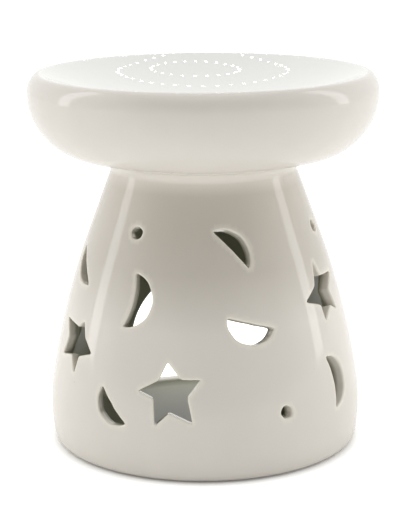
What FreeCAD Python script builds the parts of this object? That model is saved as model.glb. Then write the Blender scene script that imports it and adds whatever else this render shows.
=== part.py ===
import FreeCAD, Part

import math
import os

import Sketcher
from FreeCAD import Placement, Rotation, Vector

# A ceramic tealight burner: a slip-cast bell with cut-outs and a wide arch at the back, a
# hollow-walled oil dish luted to its neck, and the tealight that stands on the bell's floor.
# Millimetres, +Z up, origin on the table under the middle of the bell; the arch faces +Y.

doc = FreeCAD.newDocument("TealightBurner")
sheet = doc.addObject("Spreadsheet::Sheet", "Dims")

# ---------------------------------------------------------------- driving dimensions

DIMENSIONS = {
    # bell, outside: arcs that run into each other from the foot to the straight upper wall
    "foot_radius": 45.5,
    "base_round": 3.4,
    "base_angle": -11.3,
    "belly_curve": 49.7,
    "belly_angle": 8.9,
    "wall_curve": 245.0,
    "wall_lean": 20.4,
    "neck_height": 90.6,
    "neck_fillet": 2.6,
    "neck_turn": 65.0,
    # bell, inside and underneath
    "wall": 3.8,
    "floor_top": 2.8,
    "floor_corner": 4.6,
    "recess_radius": 40.0,
    "recess_depth": 0.6,
    "foot_bevel": 0.8,
    # arch at the back
    "arch_half_width": 25.2,
    "arch_sill": 4.0,
    "arch_spring": 20.0,
    "arch_corner": 4.0,
    "arch_reach": 60.0,
    # cutters for the stars, moons and dots
    "star_tip": 10.0,
    "star_notch": 5.2,
    "crescent_chord": 16.6,
    "crescent_back": 7.6,
    "crescent_hollow": 1.5,
    "half_moon_chord": 14.6,
    "half_moon_back": 6.5,
    "half_moon_hollow": 0.15,
    "slim_moon_chord": 15.4,
    "slim_moon_back": 4.8,
    "slim_moon_hollow": 0.15,
    "small_moon_chord": 13.8,
    "small_moon_back": 5.5,
    "small_moon_hollow": 0.6,
    "dot_radius": 1.9,
    "cutter_standoff": 6.0,
    "cutter_depth": 17.0,
    "cutter_swing": 15.0,
    # oil dish: its outside, its rolled rim and its bowl
    "dish_radius": 55.0,
    "dish_widest": 112.2,
    "flank_curve": 20.6,
    "flank_angle": 49.9,
    "under_curve": 17.1,
    "under_angle": 80.3,
    "shoulder_curve": 7.8,
    "shoulder_angle": 40.0,
    "crest_curve": 2.5,
    "lip_curve": 3.5,
    "lip_slope": 24.0,
    "bowl_curve": 119.0,
    "bowl_slope": 10.0,
    "dish_skin": 4.0,
    # tealight
    "cup_radius": 19.0,
    "cup_height": 15.5,
    "cup_skin": 0.35,
    "cup_round": 1.2,
    "cup_bead": 0.45,
    "bead_depth": 0.8,
    "wax_top": 12.6,
    "sustainer_radius": 6.5,
    "sustainer_sheet": 0.3,
    "collar_radius": 1.5,
    "collar_top": 3.4,
    "wick_radius": 0.9,
    "wick_top": 19.0,
    "tealight_right": 19.0,
    "tealight_front": 4.0,
}

# Three stars are trimmed by hand: reach and direction of each tip and notch, in turn.
HAND_CUT_STARS = {
    "front_star": [
        (9.7, 93), (5.3, 127), (9.4, 174), (5.0, 194), (10.5, 244),
        (5.5, 268), (10.8, 307), (5.2, 348), (10.3, 25), (5.5, 54),
    ],
    "right_star": [
        (10.4, 94), (4.8, 141), (9.7, 180), (4.7, 222), (9.0, 249),
        (5.1, 293), (9.2, 310), (3.7, 358), (10.4, 23), (5.1, 83),
    ],
    "left_star": [
        (11.0, 142), (5.1, 165), (9.1, 210), (3.8, 251), (9.3, 280),
        (4.5, 312), (9.5, 351), (5.7, 26), (8.2, 66), (5.3, 82),
    ],
}
for star, trimmed in HAND_CUT_STARS.items():
    for corner, (reach, direction) in enumerate(trimmed, start=1):
        DIMENSIONS[f"{star}_reach_{corner}"] = reach
        DIMENSIONS[f"{star}_direction_{corner}"] = direction

for row, (alias, number) in enumerate(DIMENSIONS.items(), start=1):
    sheet.set(f"A{row}", alias)
    sheet.set(f"B{row}", str(number))
    sheet.setAlias(f"B{row}", alias)
doc.recompute()


class Size:
    """A number together with the sheet expression that gives it."""

    def __init__(self, number, text):
        self.number = number
        self.text = text

    def __add__(self, other):
        return Size(self.number + other.number, f"({self.text} + {other.text})")

    def __sub__(self, other):
        return Size(self.number - other.number, f"({self.text} - {other.text})")

    def __mul__(self, other):
        return Size(self.number * other.number, f"({self.text} * {other.text})")

    def __truediv__(self, other):
        return Size(self.number / other.number, f"({self.text} / {other.text})")


def dim(alias):
    return Size(DIMENSIONS[alias], f"Dims.{alias}")


def plain(number):
    return Size(number, f"({number})")


def cosine(angle):
    return Size(math.cos(math.radians(angle.number)), f"cos({angle.text} * 1 deg)")


def sine(angle):
    return Size(math.sin(math.radians(angle.number)), f"sin({angle.text} * 1 deg)")


def root(square):
    return Size(math.sqrt(square.number), f"sqrt({square.text})")


def on_circle(centre, radius, angle):
    """The point of a circle at an angle from the first axis."""
    return (centre[0] + radius * cosine(angle), centre[1] + radius * sine(angle))


ZERO = plain(0.0)
HALF = plain(0.5)
RIGHT_ANGLE = plain(90.0)

# ---------------------------------------------------------------- sketches and bodies

LEFT, RIGHT = 1, -1


def new_body(label):
    body = doc.addObject("PartDesign::Body", label)
    body.Label = label
    return body


def new_sketch(body, name, role="XZ_Plane", offset=None):
    sketch = body.newObject("Sketcher::SketchObject", name)
    plane = [item for item in body.Origin.OriginFeatures if item.Role == role][0]
    sketch.AttachmentSupport = [(plane, "")]
    sketch.MapMode = "FlatFace"
    if offset is not None:
        sketch.AttachmentOffset = offset
    return sketch


def arc_through(start, end, radius, side):
    """The short arc between two points, with its centre to the left or right of the way."""
    chord = end - start
    middle = (start + end) * 0.5
    reach = math.sqrt(max(radius ** 2 - (chord.Length / 2) ** 2, 0.0))
    left = Vector(-chord.y, chord.x, 0).normalize()
    centre = middle + left * (reach * side)
    first, last = (start, end) if side == LEFT else (end, start)
    angles = [math.atan2(point.y - centre.y, point.x - centre.x) for point in (first, last)]
    circle = Part.Circle(centre, Vector(0, 0, 1), radius)
    return Part.ArcOfCircle(circle, angles[0], angles[1])


def bind(sketch, constraint, size):
    index = sketch.addConstraint(constraint)
    sketch.setExpression(f"Constraints[{index}]", size.text)


def draw_loop(sketch, corners, arcs=None):
    """A closed outline: straight sides, and an arc where arcs gives a side's (radius, hand)."""
    arcs = arcs or {}
    points = [Vector(x.number, y.number, 0) for x, y in corners]
    ends = []
    for side, start in enumerate(points):
        end = points[(side + 1) % len(points)]
        if side in arcs:
            radius, hand = arcs[side]
            edge = sketch.addGeometry(arc_through(start, end, radius.number, hand))
            ends.append((edge, 1, 2) if hand == LEFT else (edge, 2, 1))
            bind(sketch, Sketcher.Constraint("Radius", edge, radius.number), radius)
        else:
            edge = sketch.addGeometry(Part.LineSegment(start, end))
            ends.append((edge, 1, 2))
    for side, (x, y) in enumerate(corners):
        edge, first, _ = ends[side]
        before, _, last = ends[side - 1]
        sketch.addConstraint(Sketcher.Constraint("Coincident", before, last, edge, first))
        across = Sketcher.Constraint("DistanceX", -1, 1, edge, first, x.number)
        up = Sketcher.Constraint("DistanceY", -1, 1, edge, first, y.number)
        bind(sketch, across, x)
        bind(sketch, up, y)


def revolve(body, name, sketch):
    feature = body.newObject("PartDesign::Revolution", name)
    feature.Profile = sketch
    feature.ReferenceAxis = (sketch, ["V_Axis"])
    feature.Angle = 360
    sketch.Visibility = False
    return feature


def pocket(body, name, sketch, depth):
    """A pocket that must take material away; it cuts against the sketch's own normal."""
    doc.recompute()
    before = body.Shape.Volume
    feature = body.newObject("PartDesign::Pocket", name)
    feature.Profile = sketch
    feature.Type = "Length"
    feature.setExpression("Length", depth.text)
    doc.recompute()
    if not body.Shape.Volume < before:
        raise RuntimeError(f"{name} cut nothing")
    return feature


# ---------------------------------------------------------------- bell

base_centre = (dim("foot_radius"), dim("base_round"))
belly_centre = on_circle(base_centre, dim("base_round") - dim("belly_curve"), dim("base_angle"))
wall_centre = on_circle(belly_centre, dim("belly_curve") - dim("wall_curve"), dim("belly_angle"))
lean_cosine = cosine(dim("wall_lean"))
lean_sine = sine(dim("wall_lean"))


def up_the_wall(point, height):
    """The point at a height on the straight upper wall that leaves a given point."""
    return (point[0] - (height - point[1]) * lean_sine / lean_cosine, height)


def bell_section():
    """Half section of the bell: foot, outside, neck, inside, floor."""
    neck_rise = dim("neck_fillet") * (sine(dim("neck_turn")) + lean_sine)
    neck_reach = dim("neck_fillet") * (lean_cosine - cosine(dim("neck_turn")))
    straight_start = on_circle(wall_centre, dim("wall_curve"), dim("wall_lean"))
    fillet_start = up_the_wall(straight_start, dim("neck_height") - neck_rise)
    neck_edge = (fillet_start[0] + neck_reach, dim("neck_height"))

    inner_belly = dim("belly_curve") - dim("wall")
    inner_wall = dim("wall_curve") - dim("wall")
    inner_start = on_circle(wall_centre, inner_wall, dim("wall_lean"))
    inner_belly_top = on_circle(wall_centre, inner_wall, dim("belly_angle"))
    neck_bore = up_the_wall(inner_start, dim("neck_height"))

    corner_height = dim("floor_top") + dim("floor_corner")
    corner_arm = inner_belly - dim("floor_corner")
    corner_drop = corner_height - belly_centre[1]
    corner_run = root(corner_arm * corner_arm - corner_drop * corner_drop)
    corner_top = (
        belly_centre[0] + corner_run * inner_belly / corner_arm,
        belly_centre[1] + corner_drop * inner_belly / corner_arm,
    )
    floor_edge = (belly_centre[0] + corner_run, dim("floor_top"))

    corners = [
        (ZERO, dim("recess_depth")),
        (dim("recess_radius"), dim("recess_depth")),
        (dim("recess_radius") + dim("foot_bevel"), ZERO),
        (dim("foot_radius"), ZERO),
        on_circle(base_centre, dim("base_round"), dim("base_angle")),
        on_circle(belly_centre, dim("belly_curve"), dim("belly_angle")),
        straight_start,
        fillet_start,
        neck_edge,
        neck_bore,
        inner_start,
        inner_belly_top,
        corner_top,
        floor_edge,
        (ZERO, dim("floor_top")),
    ]
    arcs = {
        3: (dim("base_round"), LEFT),
        4: (dim("belly_curve"), LEFT),
        5: (dim("wall_curve"), LEFT),
        7: (dim("neck_fillet"), RIGHT),
        10: (inner_wall, RIGHT),
        11: (inner_belly, RIGHT),
        12: (dim("floor_corner"), RIGHT),
    }
    return corners, arcs, neck_edge, neck_bore


bell = new_body("burner_body")
bell_corners, bell_arcs, neck_edge, neck_bore = bell_section()
bell_sketch = new_sketch(bell, "BellSection")
draw_loop(bell_sketch, bell_corners, bell_arcs)
revolve(bell, "BellShell", bell_sketch)

# The arch: straight jambs, a round head, and a sill that stands above the floor as a lip.
arch_left = ZERO - dim("arch_half_width")
arch_sketch = new_sketch(bell, "ArchOutline")
draw_loop(
    arch_sketch,
    [
        (arch_left + dim("arch_corner"), dim("arch_sill")),
        (dim("arch_half_width") - dim("arch_corner"), dim("arch_sill")),
        (dim("arch_half_width"), dim("arch_sill") + dim("arch_corner")),
        (dim("arch_half_width"), dim("arch_spring")),
        (ZERO, dim("arch_spring") + dim("arch_half_width")),
        (arch_left, dim("arch_spring")),
        (arch_left, dim("arch_sill") + dim("arch_corner")),
    ],
    {
        1: (dim("arch_corner"), LEFT),
        3: (dim("arch_half_width"), LEFT),
        4: (dim("arch_half_width"), LEFT),
        6: (dim("arch_corner"), LEFT),
    },
)
pocket(bell, "Arch", arch_sketch, dim("arch_reach"))


def wall_point(height):
    """Radius and inward lean, in degrees, of the bell's outside at a height."""
    straight_start = on_circle(wall_centre, dim("wall_curve"), dim("wall_lean"))
    belly_top = on_circle(belly_centre, dim("belly_curve"), dim("belly_angle"))
    if height >= straight_start[1].number:
        lean = DIMENSIONS["wall_lean"]
        drop = height - straight_start[1].number
        return straight_start[0].number - drop * math.tan(math.radians(lean)), lean
    centre, curve = wall_centre, DIMENSIONS["wall_curve"]
    if height < belly_top[1].number:
        centre, curve = belly_centre, DIMENSIONS["belly_curve"]
    lean = math.asin((height - centre[1].number) / curve)
    return centre[0].number + curve * math.cos(lean), math.degrees(lean)


def cutter_seat(bearing, height, turn):
    """Where a cutter's outline stands: off the wall, swung round from square to it, turned."""
    radius, lean = wall_point(height)
    swung = Rotation(Vector(0, 1, 0), bearing + DIMENSIONS["cutter_swing"])
    aim = swung * Rotation(Vector(1, 0, 0), -lean)
    around = math.radians(bearing)
    seat = Vector(radius * math.sin(around), height, radius * math.cos(around))
    outward = aim.multVec(Vector(0, 0, 1))
    standoff = DIMENSIONS["cutter_standoff"]
    return Placement(seat + outward * standoff, aim * Rotation(Vector(0, 0, 1), turn))


def star_outline(kind):
    """Five tips and five notches, on two circles or as they were trimmed by hand."""
    corners = []
    for step in range(10):
        if kind in HAND_CUT_STARS:
            radius, angle = dim(f"{kind}_reach_{step + 1}"), dim(f"{kind}_direction_{step + 1}")
        else:
            radius = dim("star_tip") if step % 2 == 0 else dim("star_notch")
            angle = plain(90.0 + 36.0 * step)
        corners.append((radius * cosine(angle), radius * sine(angle)))
    return corners, {}


def moon_outline(kind):
    """Two arcs over one chord: the hollow or nearly straight front, and the rounded back."""
    half = dim(kind + "_chord") * HALF

    def arc_radius(rise):
        return (half * half + rise * rise) / (rise + rise)

    front = (arc_radius(dim(kind + "_hollow")), RIGHT)
    back = (arc_radius(dim(kind + "_back")), LEFT)
    return [(ZERO - half, ZERO), (half, ZERO)], {0: front, 1: back}


# Each cut-out: kind, bearing round the bell from the front, height of its centre, and turn.
CUT_OUTS = [
    ("front_star", -12.6, 27.5, 0.0),
    ("right_star", 61.5, 52.0, 0.0),
    ("left_star", -60.8, 36.6, 0.0),
    ("crescent", -33.0, 53.6, -100.5),
    ("half_moon", 19.3, 47.8, 158.7),
    ("slim_moon", 13.0, 69.0, -55.4),
    ("small_moon", -34.5, 22.3, 129.9),
    ("crescent", 54.0, 25.3, -86.3),
    ("slim_moon", -68.4, 60.0, 131.4),
    ("dot", -35.6, 72.8, 0.0),
    ("dot", 30.2, 20.5, 0.0),
    ("dot", 73.1, 70.9, 0.0),
    ("star", 103.0, 34.0, 25.0),
    ("crescent", -98.0, 34.0, 92.0),
    ("slim_moon", 112.0, 66.0, -40.0),
    ("star", -112.0, 66.0, 12.0),
    ("half_moon", -126.0, 27.0, -80.0),
    ("dot", 128.0, 48.0, 0.0),
    ("half_moon", 128.0, 21.0, 110.0),
    ("dot", -134.0, 50.0, 0.0),
    ("star", 152.0, 73.0, -8.0),
    ("slim_moon", -164.0, 74.0, 200.0),
    ("dot", 174.0, 69.0, 0.0),
]

for count, (kind, bearing, height, turn) in enumerate(CUT_OUTS, start=1):
    seat = cutter_seat(bearing, height, turn)
    sketch = new_sketch(bell, f"CutOutline{count:02d}", offset=seat)
    if kind == "dot":
        ring = sketch.addGeometry(Part.Circle(Vector(), Vector(0, 0, 1), DIMENSIONS["dot_radius"]))
        sketch.addConstraint(Sketcher.Constraint("Coincident", ring, 3, -1, 1))
        dot = dim("dot_radius")
        bind(sketch, Sketcher.Constraint("Radius", ring, dot.number), dot)
    else:
        corners, arcs = star_outline(kind) if "star" in kind else moon_outline(kind)
        draw_loop(sketch, corners, arcs)
    pocket(bell, f"{kind.title().replace('_', '')}{count:02d}", sketch, dim("cutter_depth"))

# ---------------------------------------------------------------- oil dish

flank_centre = (dim("dish_radius") - dim("flank_curve"), dim("dish_widest"))
flank_angle = ZERO - dim("flank_angle")
under_angle = ZERO - dim("under_angle")
under_centre = on_circle(flank_centre, dim("flank_curve") - dim("under_curve"), flank_angle)
shoulder_centre = (dim("dish_radius") - dim("shoulder_curve"), dim("dish_widest"))
crest_step = dim("shoulder_curve") - dim("crest_curve")
crest_centre = on_circle(shoulder_centre, crest_step, dim("shoulder_angle"))
lip_centre = (crest_centre[0], crest_centre[1] + dim("crest_curve") - dim("lip_curve"))
lip_angle = RIGHT_ANGLE + dim("lip_slope")
bowl_centre = on_circle(lip_centre, dim("lip_curve") + dim("bowl_curve"), lip_angle)
bowl_low_angle = dim("bowl_slope") - RIGHT_ANGLE
bowl_low = on_circle(bowl_centre, dim("bowl_curve"), bowl_low_angle)
floor_curve = bowl_low[0] / sine(dim("bowl_slope"))
floor_centre = (ZERO, bowl_low[1] + floor_curve * cosine(dim("bowl_slope")))

# The cavity in the rim ends in a small corner that touches the flank and the bowl's underside.
skin = dim("dish_skin")
bowl_under = dim("bowl_curve") + skin
cavity_rise = bowl_centre[1] - dim("dish_widest")
cavity_reach = dim("dish_radius") - skin - bowl_centre[0]
cavity_square = cavity_rise * cavity_rise + cavity_reach * cavity_reach - bowl_under * bowl_under
cavity_corner = cavity_square / (bowl_under + bowl_under + cavity_reach + cavity_reach)
cavity_share = bowl_under / (bowl_under + cavity_corner)

# Up the outside from the neck to the middle of the bowl, then back along the inside.
dish_corners = [
    (neck_bore[0], dim("neck_height")),
    (neck_edge[0], dim("neck_height")),
    on_circle(under_centre, dim("under_curve"), under_angle),
    on_circle(flank_centre, dim("flank_curve"), flank_angle),
    (dim("dish_radius"), dim("dish_widest")),
    on_circle(shoulder_centre, dim("shoulder_curve"), dim("shoulder_angle")),
    (crest_centre[0], crest_centre[1] + dim("crest_curve")),
    on_circle(lip_centre, dim("lip_curve"), lip_angle),
    bowl_low,
    (ZERO, floor_centre[1] - floor_curve),
    (ZERO, floor_centre[1] - floor_curve - skin),
    on_circle(bowl_centre, bowl_under, bowl_low_angle),
    (
        bowl_centre[0] + (cavity_reach - cavity_corner) * cavity_share,
        bowl_centre[1] - cavity_rise * cavity_share,
    ),
    (dim("dish_radius") - skin, dim("dish_widest")),
    on_circle(flank_centre, dim("flank_curve") - skin, flank_angle),
    on_circle(under_centre, dim("under_curve") - skin, under_angle),
    (neck_bore[0], dim("neck_height") + skin),
]
dish_arcs = {
    2: (dim("under_curve"), LEFT),
    3: (dim("flank_curve"), LEFT),
    4: (dim("shoulder_curve"), LEFT),
    5: (dim("crest_curve"), LEFT),
    6: (dim("lip_curve"), LEFT),
    7: (dim("bowl_curve"), RIGHT),
    8: (floor_curve, RIGHT),
    10: (floor_curve + skin, LEFT),
    11: (bowl_under, LEFT),
    12: (cavity_corner, RIGHT),
    13: (dim("flank_curve") - skin, RIGHT),
    14: (dim("under_curve") - skin, RIGHT),
}

dish = new_body("oil_dish")
dish_sketch = new_sketch(dish, "DishSection")
draw_loop(dish_sketch, dish_corners, dish_arcs)
revolve(dish, "DishShell", dish_sketch)

# ---------------------------------------------------------------- tealight

cup_inside = dim("cup_radius") - dim("cup_skin")
inside_round = dim("cup_round") - dim("cup_skin")
bead_edge = dim("cup_radius") + dim("cup_bead")
bead_foot = dim("cup_height") - dim("bead_depth")

cup = new_body("tealight_cup")
cup_sketch = new_sketch(cup, "CupSection")
draw_loop(
    cup_sketch,
    [
        (ZERO, ZERO),
        (dim("cup_radius") - dim("cup_round"), ZERO),
        (dim("cup_radius"), dim("cup_round")),
        (dim("cup_radius"), bead_foot),
        (bead_edge, bead_foot),
        (bead_edge, dim("cup_height")),
        (cup_inside, dim("cup_height")),
        (cup_inside, dim("cup_round")),
        (cup_inside - inside_round, dim("cup_skin")),
        (ZERO, dim("cup_skin")),
    ],
    {1: (dim("cup_round"), LEFT), 7: (inside_round, RIGHT)},
)
revolve(cup, "CupShell", cup_sketch)

disc_top = dim("cup_skin") + dim("sustainer_sheet")
sustainer = new_body("wick_sustainer")
sustainer_sketch = new_sketch(sustainer, "SustainerSection")
draw_loop(
    sustainer_sketch,
    [
        (dim("wick_radius"), dim("cup_skin")),
        (dim("sustainer_radius"), dim("cup_skin")),
        (dim("sustainer_radius"), disc_top),
        (dim("collar_radius"), disc_top),
        (dim("collar_radius"), dim("collar_top")),
        (dim("wick_radius"), dim("collar_top")),
    ],
)
revolve(sustainer, "SustainerTurned", sustainer_sketch)

wick = new_body("tealight_wick")
wick_sketch = new_sketch(wick, "WickSection")
draw_loop(
    wick_sketch,
    [
        (ZERO, dim("cup_skin")),
        (dim("wick_radius"), dim("cup_skin")),
        (dim("wick_radius"), dim("wick_top")),
        (ZERO, dim("wick_top")),
    ],
)
revolve(wick, "WickCord", wick_sketch)

wax = new_body("tealight_wax")
wax_sketch = new_sketch(wax, "WaxSection")
draw_loop(
    wax_sketch,
    [
        (dim("sustainer_radius"), dim("cup_skin")),
        (cup_inside - inside_round, dim("cup_skin")),
        (cup_inside, dim("cup_round")),
        (cup_inside, dim("wax_top")),
        (dim("wick_radius"), dim("wax_top")),
        (dim("wick_radius"), dim("collar_top")),
        (dim("collar_radius"), dim("collar_top")),
        (dim("collar_radius"), disc_top),
        (dim("sustainer_radius"), disc_top),
    ],
    {1: (inside_round, LEFT)},
)
revolve(wax, "WaxFill", wax_sketch)

for body in (cup, sustainer, wick, wax):
    body.setExpression("Placement.Base.x", dim("tealight_right").text)
    body.setExpression("Placement.Base.y", (ZERO - dim("tealight_front")).text)
    body.setExpression("Placement.Base.z", dim("floor_top").text)

# ---------------------------------------------------------------- checks and export

doc.recompute()
sub_parts = [bell, dish, cup, sustainer, wick, wax]
for item in doc.Objects:
    if "Invalid" in item.State or "Error" in item.State:
        raise RuntimeError(f"{item.Name} failed: {item.State}")
for body in sub_parts:
    shape = body.Shape
    if shape.isNull() or not shape.isValid() or len(shape.Solids) != 1:
        raise RuntimeError(f"{body.Label} isn't one valid solid")
    box = shape.optimalBoundingBox()
    print(f"{body.Label}: {shape.Volume:.0f} mm3, z {box.ZMin:.2f} to {box.ZMax:.2f}")

os.makedirs("parts", exist_ok=True)
for body in sub_parts:
    body.Shape.exportStep(f"parts/{body.Label}.step")
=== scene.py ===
import math
import random

import bmesh
import bpy
import numpy as np
from mathutils import Matrix, Vector
from mathutils.geometry import delaunay_2d_cdt


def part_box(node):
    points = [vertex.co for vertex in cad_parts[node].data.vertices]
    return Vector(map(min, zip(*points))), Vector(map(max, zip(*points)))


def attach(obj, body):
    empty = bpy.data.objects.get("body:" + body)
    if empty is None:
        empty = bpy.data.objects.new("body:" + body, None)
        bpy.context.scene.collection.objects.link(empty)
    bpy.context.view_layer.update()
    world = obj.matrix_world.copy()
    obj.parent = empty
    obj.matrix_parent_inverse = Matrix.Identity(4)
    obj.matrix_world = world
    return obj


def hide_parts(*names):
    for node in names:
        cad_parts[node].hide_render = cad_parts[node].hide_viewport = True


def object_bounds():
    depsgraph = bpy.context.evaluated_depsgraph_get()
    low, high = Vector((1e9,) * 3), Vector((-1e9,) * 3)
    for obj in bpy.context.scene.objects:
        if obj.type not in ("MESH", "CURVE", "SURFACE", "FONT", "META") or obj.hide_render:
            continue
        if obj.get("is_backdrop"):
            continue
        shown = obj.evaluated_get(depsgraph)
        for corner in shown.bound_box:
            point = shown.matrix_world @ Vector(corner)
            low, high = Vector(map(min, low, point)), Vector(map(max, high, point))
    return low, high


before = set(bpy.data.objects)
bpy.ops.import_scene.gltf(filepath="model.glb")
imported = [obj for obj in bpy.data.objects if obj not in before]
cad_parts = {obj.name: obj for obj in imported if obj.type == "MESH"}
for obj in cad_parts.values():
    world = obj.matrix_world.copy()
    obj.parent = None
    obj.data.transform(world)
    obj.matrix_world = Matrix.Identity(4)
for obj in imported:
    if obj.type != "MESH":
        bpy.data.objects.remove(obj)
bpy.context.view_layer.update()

# ---------------------------------------------------------------- the bell
# One slip-cast ceramic shell, about four millimetres thick, with its floor cast in. The arch at
# the back and the stars, moons and dots are cut out while the clay is leather-hard, the cut edges
# are sponged round, and the bell is dipped in a white gloss glaze that leaves the foot ring bare.

MM = 0.001

foot_radius = 45.5
base_round = 3.4
base_angle = math.radians(-11.3)
belly_curve = 49.7
belly_angle = math.radians(8.9)
wall_curve = 245.0
wall_lean = math.radians(20.4)
neck_height = 90.6
neck_fillet = 2.6
neck_turn = math.radians(65.0)
wall = 3.8
floor_top = 2.8
floor_corner = 4.6
recess_radius = 40.0
recess_depth = 0.6
foot_bevel = 0.8


def on_circle(centre, radius, angle):
    return (centre[0] + radius * math.cos(angle), centre[1] + radius * math.sin(angle))


base_centre = (foot_radius, base_round)
belly_centre = on_circle(base_centre, base_round - belly_curve, base_angle)
wall_centre = on_circle(belly_centre, belly_curve - wall_curve, belly_angle)


corner_arm = belly_curve - wall - floor_corner
corner_height = floor_top + floor_corner
corner_drop = corner_height - belly_centre[1]
corner_run = math.sqrt(corner_arm**2 - corner_drop**2)
corner_centre = (belly_centre[0] + corner_run, corner_height)
corner_end = math.atan2(corner_drop, corner_run)
corner_top = on_circle(corner_centre, floor_corner, corner_end)


def bell_surface(heights, depth):
    """Radius and lean of the bell's surface at given heights, a depth under the outside."""
    heights = np.asarray(heights, float)
    belly_top = belly_centre[1] + (belly_curve - depth) * math.sin(belly_angle)
    wall_top = wall_centre[1] + (wall_curve - depth) * math.sin(wall_lean)
    low = np.clip((heights - belly_centre[1]) / (belly_curve - depth), -1, 1)
    high = np.clip((heights - wall_centre[1]) / (wall_curve - depth), -1, 1)
    top_radius = wall_centre[0] + (wall_curve - depth) * math.cos(wall_lean)
    straight = top_radius - (heights - wall_top) * math.tan(wall_lean)
    lean = np.where(heights < belly_top, np.arcsin(low), np.arcsin(high))
    lean = np.where(heights > wall_top, wall_lean, lean)
    radius = np.where(
        heights < belly_top,
        belly_centre[0] + (belly_curve - depth) * np.cos(lean),
        wall_centre[0] + (wall_curve - depth) * np.cos(lean),
    )
    radius = np.where(heights > wall_top, straight, radius)
    if depth == wall:
        in_corner = heights < corner_top[1]
        corner_lean = np.arcsin(np.clip((heights - corner_height) / floor_corner, -1, 1))
        lean = np.where(in_corner, corner_lean, lean)
        radius = np.where(in_corner, corner_centre[0] + floor_corner * np.cos(lean), radius)
    return radius, lean


def wall_points(bearings, heights, depth):
    """Points of the bell's surface and the directions square to it, pointing off the clay."""
    radius, lean = bell_surface(heights, depth)
    across, along = np.sin(bearings), -np.cos(bearings)
    points = np.stack([radius * across, radius * along, np.asarray(heights, float)], axis=-1)
    square = np.stack([np.cos(lean) * across, np.cos(lean) * along, np.sin(lean)], axis=-1)
    return points, square if depth == 0 else -square


class Skin:
    """Patches of one glazed surface, kept until they are welded into a mesh."""

    def __init__(self):
        self.points, self.squares, self.faces = [], [], []
        self.marks = {"thin_glaze_and_highlight": [], "bare": [], "inner": [], "pooled": []}
        self.count = 0

    def add(self, points, squares, faces, thin_glaze_and_highlight=0.0, bare=0.0, inner=0.0, pooled=0.0):
        points = np.asarray(points, float).reshape(-1, 3)
        self.points.append(points)
        self.squares.append(np.asarray(squares, float).reshape(-1, 3))
        given = {"thin_glaze_and_highlight": thin_glaze_and_highlight, "bare": bare, "inner": inner, "pooled": pooled}
        for mark, value in given.items():
            self.marks[mark].append(np.broadcast_to(value, len(points)))
        self.faces.extend([tuple(corner + self.count for corner in face) for face in faces])
        self.count += len(points)

    def piece(self, name):
        """One mesh object: doubled points welded, each face turned to face off the clay."""
        points = np.concatenate(self.points)
        squares = np.concatenate(self.squares)
        grid = np.round(points, 3) + 0.0
        _, first, slot = np.unique(grid, axis=0, return_index=True, return_inverse=True)
        slot = slot.reshape(-1)
        points, squares = points[first], squares[first]
        faces = []
        for face in self.faces:
            loop = []
            for corner in face:
                if slot[corner] not in loop:
                    loop.append(slot[corner])
            if len(loop) < 3:
                continue
            a, b, c = points[loop[0]], points[loop[1]], points[loop[2]]
            if len(loop) == 4:
                normal = np.cross(points[loop[2]] - a, points[loop[3]] - b)
            else:
                normal = np.cross(b - a, c - a)
            if normal @ squares[loop].sum(axis=0) < 0:
                loop.reverse()
            faces.append(loop)
        mesh = bpy.data.meshes.new(name)
        mesh.from_pydata((points * MM).tolist(), [], faces)
        mesh.update()
        for mark, values in self.marks.items():
            layer = mesh.attributes.new(mark, "FLOAT", "POINT")
            layer.data.foreach_set("value", np.concatenate(values)[first].astype(np.float32))
        mesh.shade_smooth()
        mesh.normals_split_custom_set_from_vertices(squares.tolist())
        piece = bpy.data.objects.new(name, mesh)
        bpy.context.collection.objects.link(piece)
        return piece


def turned_strip(path, normals, bearings):
    """Points, directions and faces of a path (radius, height) turned once round the axis."""
    path, normals = np.asarray(path, float), np.asarray(normals, float)
    across, along = np.sin(bearings), -np.cos(bearings)
    points = np.stack(
        [
            np.outer(path[:, 0], across),
            np.outer(path[:, 0], along),
            np.outer(path[:, 1], np.ones_like(across)),
        ],
        axis=-1,
    )
    squares = np.stack(
        [
            np.outer(normals[:, 0], across),
            np.outer(normals[:, 0], along),
            np.outer(normals[:, 1], np.ones_like(across)),
        ],
        axis=-1,
    )
    columns = len(bearings)
    faces = []
    for row in range(len(path) - 1):
        for column in range(columns):
            after = (column + 1) % columns
            low, high = row * columns, (row + 1) * columns
            faces.append((low + column, low + after, high + after, high + column))
    return points, squares, faces


def arc_path(centre, radius, start, end, steps, hollow=False):
    """Points of an arc and the directions off the clay, which point inwards on a hollow arc."""
    angles = np.linspace(start, end, steps + 1)
    directions = np.stack([np.cos(angles), np.sin(angles)], axis=1)
    points = np.asarray(centre) + radius * directions
    return points, -directions if hollow else directions


def line_path(start, end, normal, steps):
    start, end = np.asarray(start, float), np.asarray(end, float)
    parts = np.linspace(0, 1, steps + 1)[:, None]
    return start + (end - start) * parts, np.tile(np.asarray(normal, float), (steps + 1, 1))


# Cutters. Each outline lies in a plane square to the wall, seen from outside, going left-handed
# round the hole; it is softened as a sponge does and then pushed through, a little aslant.
# Three of the stars are uneven: the reach and direction of their tips and notches were printed
# by a scratch fit, and so were the moons' sizes.

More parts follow.
